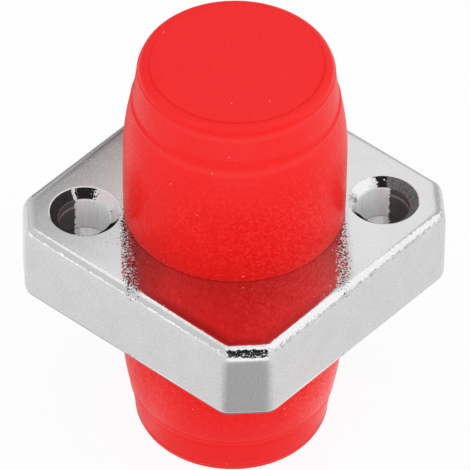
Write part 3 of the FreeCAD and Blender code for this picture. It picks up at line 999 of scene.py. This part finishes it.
turned_brass, tree, shader, rings = patterned_finish(
    "turned_brass", BRASS_TONES, (0.14, 0.26), 1.0, 0.6, 2.0, TURNING_FINENESS)
tree.links.new(relief(tree, rings, RING_DEPTH), shader.inputs["Normal"])
white_ceramic = patterned_finish("white_ceramic", CERAMIC_TONES, (0.10, 0.2), 0.0, 0.8, 3.0)[0]
ground_steel = patterned_finish(
    "ground_steel", STEEL_TONES, (0.22, 0.4), 1.0, 0.12, 2.0, GRINDING_FINENESS)[0]
for piece, finish in ((holder_upper, turned_brass), (holder_lower, turned_brass),
                      (align_sleeve, white_ceramic), (loss_spacer, ground_steel)):
    piece.data.materials.append(finish)

# %% [markdown]
# ## Red dust-cap plastic
# The caps are soft polythene, coloured through, with a satin skin. Light and shade on them are partly
# painted: the red is painted paler just under the step and the shoulder, as painted highlights, and
# deeper just over them, as painted shade. Subsurface scattering makes renders slow and grainy, so these
# tones are laid on by height, as rings. Low on the wall the skin has an orange-peel frost, with cells
# that tilt and are painted a little paler, as painted glints, and a few specks of dust lie on it.

# %% Colour and painted light of the caps
RED, RED_DULL = (0.90, 0.017, 0.017, 1), (0.88, 0.015, 0.015, 1)
RED_HIGH_PAINTED_PALER, RED_LEFT_SHADE = (0.90, 0.0225, 0.0225, 1), (0.87, 0.005, 0.008, 1)
RED_PAINTED_SHADE, RED_PAINTED_HIGHLIGHT = (0.90, 0.011, 0.009, 1), (0.92, 0.040, 0.040, 1)
RED_LOW_SHADE, RED_LOW_SHADE_DULL = (0.885, 0.005, 0.004, 1), (0.865, 0.004, 0.003, 1)
MOTTLE_SIZE = 1.2

cap_red, tree, shader, place = new_finish("cap_red")
across_x, along_y, up = parts_of(tree, place)
height = arithmetic(tree, "ABSOLUTE", up)


def ring_at(centre, width):
    """1 on a ring of the cap at a height in millimetres, falling to 0 a width above and below it."""
    return spread_mm(tree, distance_from(tree, height, centre * MM), 1, 0, 0, width)


mottle = noise(tree, place, MOTTLE_SIZE, 4.0)
front = spread_mm(tree, along_y, 1, 0, -4.1, -2.0)
low_wall = spread_mm(tree, height, 1, 0.2, 5.5, 8.5)
painted_paler_high_wall = product(tree, spread_mm(tree, up, 0, 1, 5.0, 9.0), spread_mm(tree, height, 1, 0, 10.50, 10.64))
left_painted_shade = spread_mm(tree, across_x, 0.9, 0, -4.8, -3.2)
# Painted light: deeper red rings just over the step and the shoulder are painted shade, paler rings  just
# under them and the lower end of the lower cap are painted highlights, all in front. The left side  and the
# low wall get painted shade, and the upper wall is painted a little paler.
deep = product(tree, largest(tree, ring_at(8.74, 0.28), ring_at(10.36, 0.16)), front)
highlight_rings = largest(tree, ring_at(8.27, 0.22), ring_at(10.05, 0.2))
highlight_ring_share = product(tree, highlight_rings, two_sides(tree, up, 0.4, 0.9))
lower_end_highlight = spread_mm(tree, up, 0.45, 0, -10.6, -10.1)
painted_highlight = product(tree, largest(tree, lower_end_highlight, highlight_ring_share), front)
dye_and_painted_light = blended(tree, mottle, RED, RED_DULL)
low_painted_shade = blended(tree, mottle, RED_LOW_SHADE, RED_LOW_SHADE_DULL)
for share, tone in ((painted_paler_high_wall, RED_HIGH_PAINTED_PALER), (left_painted_shade, RED_LEFT_SHADE), (deep, RED_PAINTED_SHADE),
                    (painted_highlight, RED_PAINTED_HIGHLIGHT), (low_wall, low_painted_shade)):
    dye_and_painted_light = blended(tree, share, dye_and_painted_light, tone)
print("cap_red:", len(tree.nodes), "nodes for the dye")

# %% Skin of the caps
SKIN_GRAIN, PEEL_SIZE, SPECK_SPACING = 0.07, 0.095, 0.62
PAINTED_GLINT_RED, DUST, SPECK = (1.0, 0.03, 0.022, 1), (0.92, 0.16, 0.14, 1), (0.95, 0.42, 0.40, 1)
PEEL_TILT_LOW, PEEL_TILT, SKIN_DEPTH, SATIN = 0.20, 0.04, 0.004, 0.13

skin = noise(tree, place, SKIN_GRAIN, 2.0)
peel = grains(tree, place, PEEL_SIZE)["Color"]
specks = grains(tree, place, SPECK_SPACING)
speck = product(tree, spread(tree, specks["Distance"], 1, 0, 0.035, 0.06),
                spread(tree, specks["Color"], 0, 1, 0.55, 0.6))
# Cells low on the wall are painted paler: painted glints of the orange-peel skin.
painted_frost_glints = product(tree, spread(tree, parts_of(tree, peel)["X"], 0, 0.6, 0.5, 1.0), low_wall)
dye_and_painted_light = blended(tree, painted_frost_glints, dye_and_painted_light, PAINTED_GLINT_RED)
dusty = blended(tree, spread(tree, skin, 0.0, 0.10, 0.56, 0.72), dye_and_painted_light, DUST)
tree.links.new(blended(tree, speck, dusty, SPECK), shader.inputs["Base Color"])
shader.inputs["Specular IOR Level"].default_value = SATIN
tree.links.new(spread(tree, skin, 0.30, 0.38), shader.inputs["Roughness"])
peeled = vector_step(tree, "MULTIPLY_ADD", vector_step(tree, "SUBTRACT", peel, CELL_MIDDLE),
                     scaled(tree, low_wall, PEEL_TILT_LOW, PEEL_TILT), relief(tree, skin, SKIN_DEPTH))
tree.links.new(vector_step(tree, "NORMALIZE", peeled), shader.inputs["Normal"])
for piece in (cap_upper, cap_lower):
    piece.data.materials.append(cap_red)
print("cap_red:", len(tree.nodes), "nodes in all")

# %% [markdown]
# ## The floor
# The picture is a plain product shot on white. A floor could be lit until it is white, but so much
# light would bleach the part as well. So the floor is a pale matt card, and rays that come from the
# camera see it mixed with an even white glow, while rays that the metal sends on see about half of
# that glow. What is left of the matt shading keeps the soft shadow under the part.

# %% Floor
FLOOR_SIZE, FLOOR_GAP, FLOOR_TONE = 1500.0, 0.01, grey(0.92)
GLOW_FOR_CAMERA, GLOW_FOR_METAL = 0.92, 0.5


def stage_card(name, corners):
    """A flat four-cornered card that is no part of the object, from its corners in millimetres, and
    its shading tree, which has nothing in it yet."""
    mesh = bpy.data.meshes.new(name)
    mesh.from_pydata((np.asarray(corners) * MM).tolist(), [], [(0, 1, 2, 3)])
    card = bpy.data.objects.new(name, mesh)
    bpy.context.scene.collection.objects.link(card)
    material = bpy.data.materials.new(name)
    material.use_nodes = True
    material.node_tree.nodes.clear()
    card.data.materials.append(material)
    return card, material.node_tree


def rectangle(centre, across, along):
    """The corners of a rectangle from its centre and two half edges."""
    turn = np.array([[-1, -1], [1, -1], [1, 1], [-1, 1]])
    return np.asarray(centre) + turn[:, :1] * np.asarray(across) + turn[:, 1:] * np.asarray(along)


def sent_by(tree):
    """Two sockets: 1 for rays from the camera, and 1 for rays that metal or glass sends on."""
    path = add_node(tree, "ShaderNodeLightPath").outputs
    return path["Is Camera Ray"], largest(tree, path["Is Glossy Ray"], path["Is Transmission Ray"])


floor_height = cad_box[0][2] / MM - FLOOR_GAP
floor_corners = rectangle((0, 0, floor_height), (FLOOR_SIZE, 0, 0), (0, FLOOR_SIZE, 0))
tree = stage_card("floor", floor_corners)[1]
matt = add_node(tree, "ShaderNodeBsdfDiffuse", {"Color": FLOOR_TONE}).outputs[0]
white = add_node(tree, "ShaderNodeEmission", {"Strength": 1.0}).outputs[0]
from_camera, from_metal = sent_by(tree)
share_white = scaled(tree, from_camera, GLOW_FOR_CAMERA, product(tree, from_metal, GLOW_FOR_METAL))
mixed = add_node(tree, "ShaderNodeMixShader", {0: share_white, 1: matt, 2: white}).outputs[0]
tree.links.new(mixed, add_node(tree, "ShaderNodeOutputMaterial").inputs[0])
print("floor at", round(floor_height, 3), "mm")

# %% [markdown]
# ## World and lamps
# Soft studio light comes from all round. The world gives most of it, a little less from behind, and
# shows plain white to the camera and in reflections. Four large, weak lamps shape the part. One strong
# lamp would be simpler, but it would throw a hard shadow. The lamps are left out of reflections,
# because a square lamp would show in the plating like a window: what the metal mirrors is set by
# cards in the next step.

# %% World
LIGHT_IN_FRONT, LIGHT_BEHIND = 1.0, 0.75


def facing(tree, place, direction, low, high, start, end):
    """How far a place or direction lies along a given direction, carried over to low ... high."""
    along = add_node(tree, "ShaderNodeVectorMath", {0: place, 1: tuple(direction)}, operation="DOT_PRODUCT")
    return spread(tree, along.outputs["Value"], low, high, start, end)


world = bpy.data.worlds.new("white_room")
bpy.context.scene.world = world
world.use_nodes = True
tree = world.node_tree
even = tree.nodes["Background"]
even.inputs["Color"].default_value = WHITE
direction = add_node(tree, "ShaderNodeTexCoord").outputs["Generated"]
strength = facing(tree, direction, (0, 1, 0), LIGHT_IN_FRONT, LIGHT_BEHIND, -0.3, 0.6)
tree.links.new(strength, even.inputs["Strength"])
bright = add_node(tree, "ShaderNodeBackground", {"Color": WHITE, "Strength": 1.0}).outputs[0]
seen = largest(tree, *sent_by(tree))
both = add_node(tree, "ShaderNodeMixShader", {0: seen, 1: even.outputs[0], 2: bright}).outputs[0]
tree.links.new(both, tree.nodes["World Output"].inputs[0])
print("world:", len(tree.nodes), "nodes")

# %% Lamps
LAMP_DISTANCE, LAMP_SIZE = 500.0, 420.0

# Each lamp is its azimuth and elevation in degrees and its level.
LAMPS = {
    "front_lamp": (172.0, 28.0, 0.06),
    "top_lamp": (150.0, 78.0, 0.05),
    "right_lamp": (95.0, 10.0, 0.10),
    "left_lamp": (262.0, 5.0, 0.05),
}


def towards(azimuth, elevation):
    """Unit vectors away from the part, level across and upright, for a direction in degrees. Azimuth
    runs from the back (0) by the right (90) to the front (180)."""
    azimuth, elevation = math.radians(azimuth), math.radians(elevation)
    away = np.array([math.sin(azimuth) * math.cos(elevation), math.cos(azimuth) * math.cos(elevation),
                     math.sin(elevation)])
    across = np.array([math.cos(azimuth), -math.sin(azimuth), 0.0])
    return away, across, np.cross(across, away)


def soft_lamp(name, azimuth, elevation, level):
    """A square lamp facing the part. A level of 1 lights a surface that faces it as a white sky does."""
    away = towards(azimuth, elevation)[0]
    light = bpy.data.lights.new(name, "AREA")
    light.size = LAMP_SIZE * MM
    light.energy = level * math.pi ** 2 * (LAMP_DISTANCE * MM) ** 2
    lamp = bpy.data.objects.new(name, light)
    lamp.matrix_world = Vector(away).to_track_quat("Z", "Y").to_matrix().to_4x4()
    lamp.matrix_world.translation = Vector(away * LAMP_DISTANCE * MM)
    lamp.visible_glossy = False
    bpy.context.scene.collection.objects.link(lamp)


for name, setting in LAMPS.items():
    soft_lamp(name, *setting)
print("lamps:", ", ".join(LAMPS))

# %% [markdown]
# ## Cards for the metal
# Polished metal is drawn by what it mirrors, and in a white room it would look like paper. So cards
# stand round the part, outside the view, as in a studio: dark ones in front, where the camera and the
# dark room behind it would be, bright boxes to the right and above, narrow bright strips, and grey
# cards on the left and behind. Lamps could be mirrored instead, but they would light the caps and the
# floor too. A card shows only in reflections: it casts no shadow and no light of its own.

# %% Cards
# Each card is its azimuth and elevation, distance, half width, half height and brightness.
CARDS = {
    "front_card": (190.0, 46.0, 160.0, 78.0, 58.0, 0.02),
    "low_front_card": (180.0, 8.0, 35.0, 9.0, 8.5, 0.02),
    "right_box": (76.0, 46.0, 150.0, 118.0, 98.0, 1.25),
    "top_box": (180.0, 79.0, 150.0, 70.0, 34.0, 1.25),
    "left_card": (262.0, 36.0, 150.0, 70.0, 82.0, 0.80),
    "low_right_strip": (100.0, 5.0, 140.0, 60.0, 13.0, 0.60),
    "upper_left_strip": (318.0, 61.0, 140.0, 40.0, 5.0, 1.2),
    "low_left_strip": (254.0, 4.5, 140.0, 60.0, 7.0, 1.6),
    "back_left_card": (354.0, 10.0, 200.0, 42.0, 78.0, 0.30),
    "back_right_card": (45.0, 12.0, 240.0, 150.0, 80.0, 0.60),
    "left_back_card": (315.0, 22.0, 160.0, 70.0, 60.0, 0.74),
}


def glow(card, tree, strength, shade=None):
    """Gives a card a brightness, even or from a socket of its shading, and hides it from everything
    but reflections."""
    light = add_node(tree, "ShaderNodeEmission", {"Strength": strength})
    if shade is not None:
        tree.links.new(shade, light.inputs["Color"])
    tree.links.new(light.outputs[0], add_node(tree, "ShaderNodeOutputMaterial").inputs[0])
    card.visible_camera = card.visible_diffuse = card.visible_shadow = False


def card_towards(name, azimuth, elevation, distance, half_width, half_height, strength):
    """A card square to a direction seen from the part, level along its width."""
    away, across, along = towards(azimuth, elevation)
    glow(*stage_card(name, rectangle(away * distance, across * half_width, along * half_height)), strength)


for name, setting in CARDS.items():
    card_towards(name, *setting)
print("cards:", ", ".join(CARDS))

# %% [markdown]
# ## A graded card behind the part
# The top of the flange mirrors what stands above and behind the part. In the picture it fades from
# grey at the back left to nearly white at the front right. The fade could be painted on the metal, but
# then it would stay there in any other light. So it is a card as well, square to the direction in
# which the top sends the camera's view on. Its grey follows a colour ramp along the diagonal, and a
# few more steps of grey lie towards its left and right ends.

# %% Graded card
GRADE_DISTANCE, GRADE_START, GRADE_END = 25.0, -6.0, 10.0
GRADE_LEFT, GRADE_RIGHT, GRADE_LOW, GRADE_HIGH = -34.0, 31.5, -14.0, 9.5

# The card lies further from the lens than the top of the flange, so it looks smaller by this factor.
GRADE_GROWTH = 1.066

# Place and grey of each stop of the ramp, and start, end and grey of each step towards the ends.
GRADE_STOPS = [(0.0, 0.14), (0.375, 0.36), (0.44, 0.50), (0.5, 0.60), (0.58, 0.69), (0.68, 0.82),
               (0.8, 0.95), (1.0, 1.02)]
END_GRADES = [(-8.5, -12.5, 0.62), (-12.5, -30.0, 0.82), (10.5, 17.0, 0.60)]

away, across, along = towards(-math.degrees(CAMERA_AZIMUTH), math.degrees(CAMERA_ELEVATION))
mirror_foot = away * GRADE_DISTANCE + [0, 0, PLATE_HALF]
grade_middle = (mirror_foot + across * (GRADE_LEFT + GRADE_RIGHT) / 2
                + along * (GRADE_LOW + GRADE_HIGH) / 2)
half_across = across * (GRADE_RIGHT - GRADE_LEFT) / 2
half_along = along * (GRADE_HIGH - GRADE_LOW) / 2
graded_card, tree = stage_card("graded_card", rectangle(grade_middle, half_across, half_along))
slope = (across + along / math.sin(CAMERA_ELEVATION)) / (GRADE_GROWTH * math.sqrt(2))
offset = PLATE_SIDE / 2 - slope @ mirror_foot
place = add_node(tree, "ShaderNodeTexCoord").outputs["Object"]
span = facing(tree, place, slope / MM, 0, 1, GRADE_START - offset, GRADE_END - offset)
ramp = add_node(tree, "ShaderNodeValToRGB", {0: span})
for stop, _ in GRADE_STOPS[1:-1]:
    ramp.color_ramp.elements.new(stop)
for element, (stop, level) in zip(ramp.color_ramp.elements, GRADE_STOPS):
    element.position = stop
    element.color = grey(level)
shade = ramp.outputs[0]
for start, end, level in END_GRADES:
    shade = blended(tree, facing(tree, place, across / MM, 0, 1, start, end), shade, grey(level))
glow(graded_card, tree, 1.0, shade)
print("graded card:", len(ramp.color_ramp.elements), "stops and", len(END_GRADES), "end grades")

# %% [markdown]
# ## Patches on the floor
# The sides of the flange stand upright, so from above they mirror the floor round the part. A floor of
# one tone would make them look cut from paper. The floor itself could be shaded, but then the shade
# would show behind the part. So a few patches lie just over it, again for reflections only, and the
# one in front fades from grey in its middle to nearly white at its ends.

# %% Floor patches
PATCH_LIFT = 0.02
FRONT_MIDDLE, FADE_START, FADE_END = -1.0, 3.0, 12.0
FRONT_GREY, FRONT_PALE = grey(0.50), grey(0.92)
FRONT_PATCH = [(-15, -31), (13, -31), (13, -14), (-15, -14)]

# Each patch is its four corners and its brightness.
PATCHES = {
    "back_patch": ([(-14, 15), (-1, 15), (-1, 110), (-34, 110)], 0.30),
    "right_patch": ([(21.5, 7), (40, 7), (24, 40), (11, 17)], 0.85),
    "low_right_patch": ([(4.5, -6.5), (10.5, -6.5), (10.5, 5), (4.5, 5)], 1.25),
    "low_left_patch": ([(-10.5, -6.5), (-4.5, -6.5), (-4.5, -1.5), (-10.5, -1.5)], 1.25),
    "front_strip": ([(-14, -75), (12, -75), (12, -32), (-14, -32)], 1.35),
}


def floor_patch(name, corners):
    """A flat patch just over the floor from its four corners."""
    return stage_card(name, at_height(np.asarray(corners, dtype=float), floor_height + PATCH_LIFT))


front_patch, tree = floor_patch("front_patch", FRONT_PATCH)
patch_x = parts_of(tree, add_node(tree, "ShaderNodeTexCoord").outputs["Object"])["X"]
fade = spread_mm(tree, distance_from(tree, patch_x, FRONT_MIDDLE * MM), 0, 1, FADE_START, FADE_END)
glow(front_patch, tree, 1.0, blended(tree, fade, FRONT_GREY, FRONT_PALE))
for name, (corners, strength) in PATCHES.items():
    glow(*floor_patch(name, corners), strength)
print("patches:", 1 + len(PATCHES))
